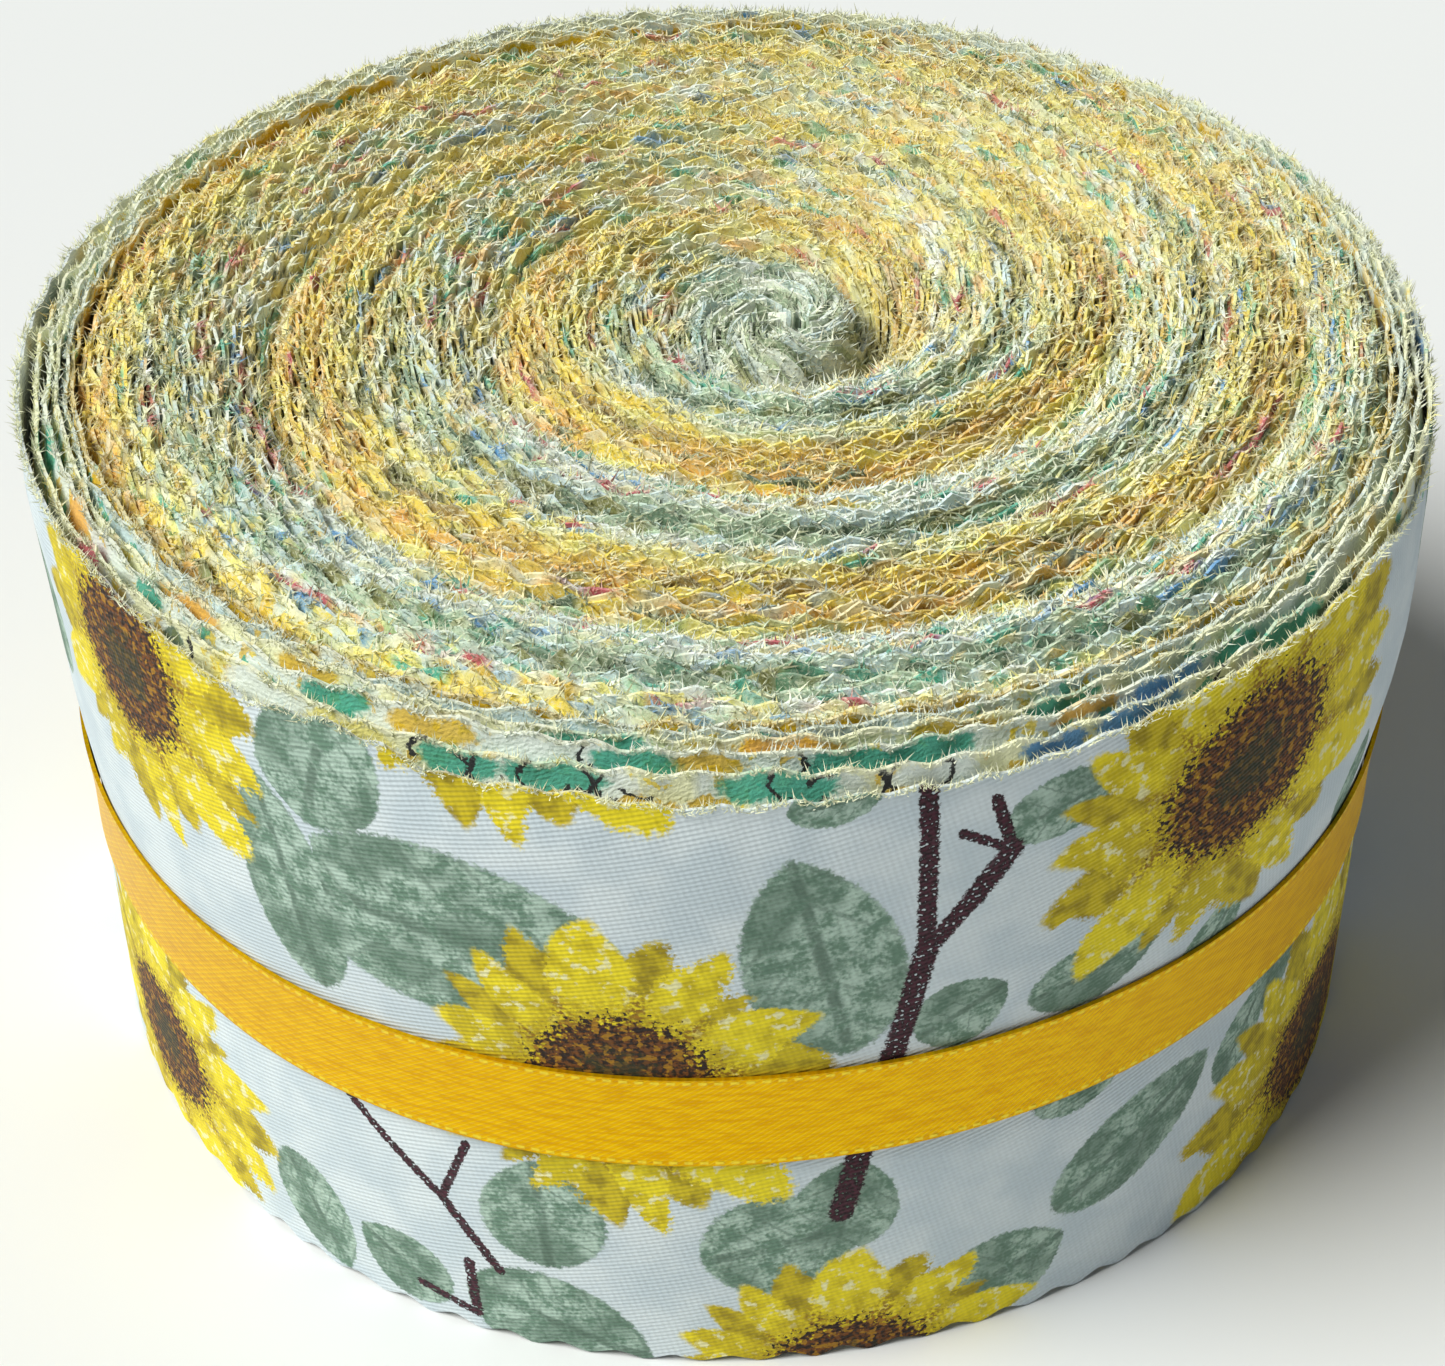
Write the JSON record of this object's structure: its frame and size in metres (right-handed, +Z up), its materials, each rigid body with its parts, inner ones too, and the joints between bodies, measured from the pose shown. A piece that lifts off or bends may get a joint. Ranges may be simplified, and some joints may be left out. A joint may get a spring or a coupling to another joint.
{
  "type": "jelly roll of fabric strips",
  "caption": "Round roll of printed cotton strips with pinked edges, wound on edge and held at the waist by a narrow satin ribbon.",
  "frame": {"origin": "centre of the roll's outline on the surface it stands on", "axes": "+Z up along the roll's axis, the front of the picture towards -Y, +X to its right"},
  "size_m": [0.1182, 0.1201, 0.064],
  "materials": {
    "printed_cotton": "matt cotton twill, white ground with a sunflower print, frayed pinked edges",
    "satin_ribbon": "golden yellow satin ribbon with woven edges"
  },
  "bodies": {
    "root": {"strip_roll": "printed_cotton", "ribbon": "satin_ribbon"}
  },
  "joints": []
}
